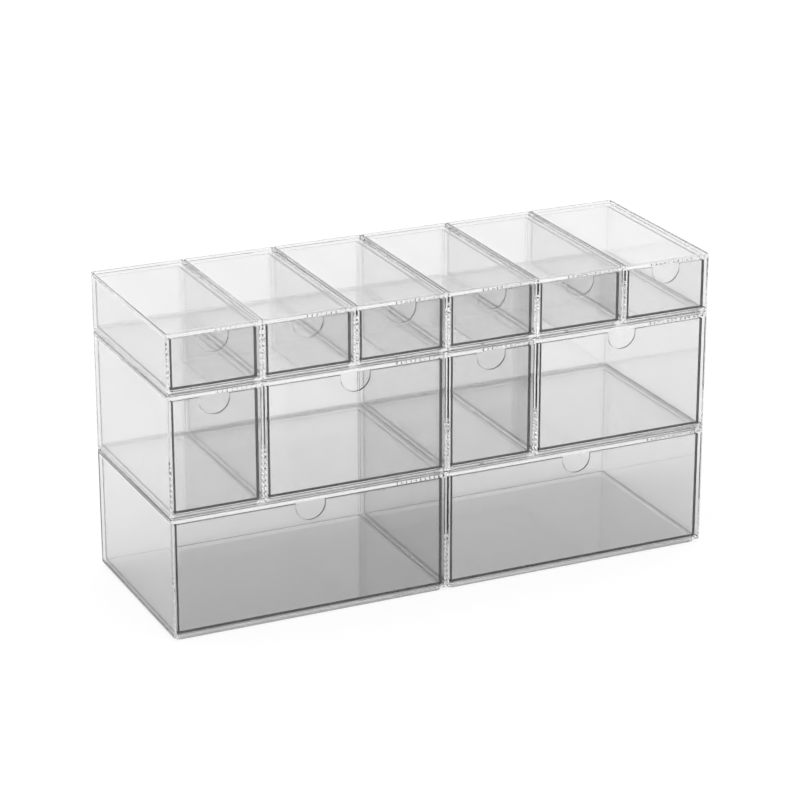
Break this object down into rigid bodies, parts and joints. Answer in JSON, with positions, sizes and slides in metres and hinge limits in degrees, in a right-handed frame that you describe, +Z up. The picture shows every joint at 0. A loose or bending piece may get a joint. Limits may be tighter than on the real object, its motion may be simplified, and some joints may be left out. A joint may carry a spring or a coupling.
{
  "type": "drawer organizer",
  "caption": "Clear plastic drawer cabinet of stacked cases in low and tall tiers, each open at the front and holding a sliding drawer with a finger notch.",
  "frame": {"origin": "bottom centre of the whole stack, on the surface that its foot rims stand on", "axes": "+X to the right of someone facing the drawers, +Y to the back, +Z up; drawers pull out towards -Y"},
  "size_m": [0.4916, 0.175, 0.2651],
  "materials": {
    "clear_plastic": "clear, polished"
  },
  "bodies": {
    "stack": {"bottom_case_1": "clear_plastic", "bottom_case_2": "clear_plastic", "middle_case_1": "clear_plastic", "middle_case_2": "clear_plastic", "middle_case_3": "clear_plastic", "middle_case_4": "clear_plastic", "top_case_1": "clear_plastic", "top_case_2": "clear_plastic", "top_case_3": "clear_plastic", "top_case_4": "clear_plastic", "top_case_5": "clear_plastic", "top_case_6": "clear_plastic"},
    "bottom_drawer_1": {"bottom_drawer_1": "clear_plastic"},
    "bottom_drawer_2": {"bottom_drawer_2": "clear_plastic"},
    "middle_drawer_1": {"middle_drawer_1": "clear_plastic"},
    "middle_drawer_2": {"middle_drawer_2": "clear_plastic"},
    "middle_drawer_3": {"middle_drawer_3": "clear_plastic"},
    "middle_drawer_4": {"middle_drawer_4": "clear_plastic"},
    "top_drawer_1": {"top_drawer_1": "clear_plastic"},
    "top_drawer_2": {"top_drawer_2": "clear_plastic"},
    "top_drawer_3": {"top_drawer_3": "clear_plastic"},
    "top_drawer_4": {"top_drawer_4": "clear_plastic"},
    "top_drawer_5": {"top_drawer_5": "clear_plastic"},
    "top_drawer_6": {"top_drawer_6": "clear_plastic"}
  },
  "joints": [
    {"name": "bottom_drawer_1_slide", "type": "slide", "parent": "stack", "child": "bottom_drawer_1", "axis": [0, -1, 0], "range_m": [0, 0.145]},
    {"name": "bottom_drawer_2_slide", "type": "slide", "parent": "stack", "child": "bottom_drawer_2", "axis": [0, -1, 0], "range_m": [0, 0.145]},
    {"name": "middle_drawer_1_slide", "type": "slide", "parent": "stack", "child": "middle_drawer_1", "axis": [0, -1, 0], "range_m": [0, 0.145]},
    {"name": "middle_drawer_2_slide", "type": "slide", "parent": "stack", "child": "middle_drawer_2", "axis": [0, -1, 0], "range_m": [0, 0.145]},
    {"name": "middle_drawer_3_slide", "type": "slide", "parent": "stack", "child": "middle_drawer_3", "axis": [0, -1, 0], "range_m": [0, 0.145]},
    {"name": "middle_drawer_4_slide", "type": "slide", "parent": "stack", "child": "middle_drawer_4", "axis": [0, -1, 0], "range_m": [0, 0.145]},
    {"name": "top_drawer_1_slide", "type": "slide", "parent": "stack", "child": "top_drawer_1", "axis": [0, -1, 0], "range_m": [0, 0.145]},
    {"name": "top_drawer_2_slide", "type": "slide", "parent": "stack", "child": "top_drawer_2", "axis": [0, -1, 0], "range_m": [0, 0.145]},
    {"name": "top_drawer_3_slide", "type": "slide", "parent": "stack", "child": "top_drawer_3", "axis": [0, -1, 0], "range_m": [0, 0.145]},
    {"name": "top_drawer_4_slide", "type": "slide", "parent": "stack", "child": "top_drawer_4", "axis": [0, -1, 0], "range_m": [0, 0.145]},
    {"name": "top_drawer_5_slide", "type": "slide", "parent": "stack", "child": "top_drawer_5", "axis": [0, -1, 0], "range_m": [0, 0.145]},
    {"name": "top_drawer_6_slide", "type": "slide", "parent": "stack", "child": "top_drawer_6", "axis": [0, -1, 0], "range_m": [0, 0.145]}
  ]
}
